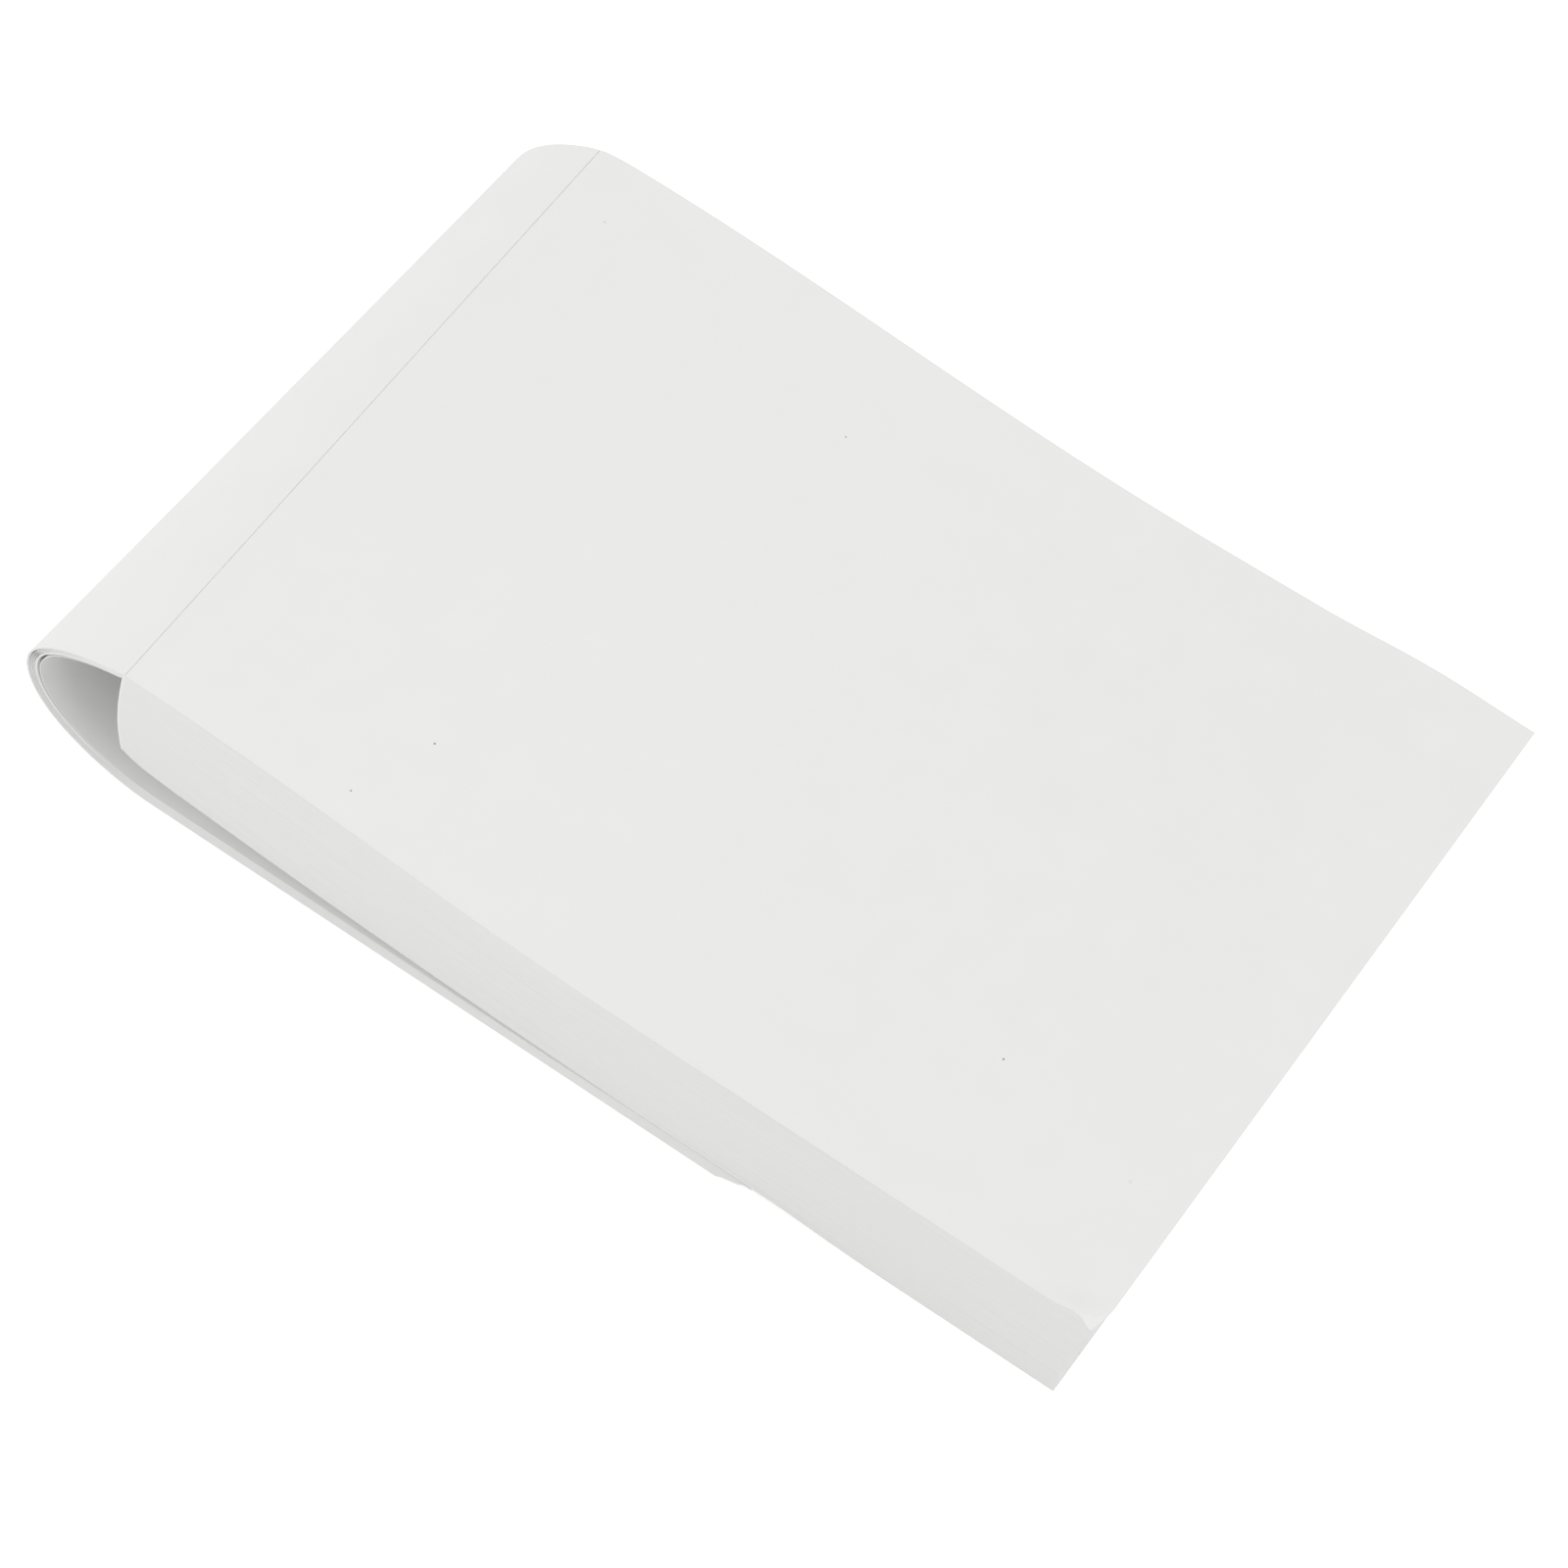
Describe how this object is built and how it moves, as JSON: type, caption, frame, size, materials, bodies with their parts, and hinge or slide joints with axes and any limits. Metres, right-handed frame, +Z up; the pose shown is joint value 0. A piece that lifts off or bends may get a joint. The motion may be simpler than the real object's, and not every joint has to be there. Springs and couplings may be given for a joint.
{
  "type": "notepad",
  "caption": "Blank writing pad glued along one short edge, with its first leaves turned over that edge in a soft loop and laid flat underneath.",
  "frame": {"origin": "middle of the footprint's bounding box, on the surface that the pad lies on", "axes": "+X along the page from the glued edge to the free edge, +Y across the page, +Z up from the surface to the writing page"},
  "size_m": [0.1678, 0.1024, 0.0337],
  "materials": {
    "page_paper": "uncoated bright white writing paper, dull",
    "padding_glue": "dried white padding glue, a thin flexible film with a faint sheen",
    "leaf_paper": "uncoated bright white writing paper, dull"
  },
  "bodies": {
    "root": {"page_block": "page_paper", "binding_glue": "padding_glue", "turned_leaves": "leaf_paper"}
  },
  "joints": []
}
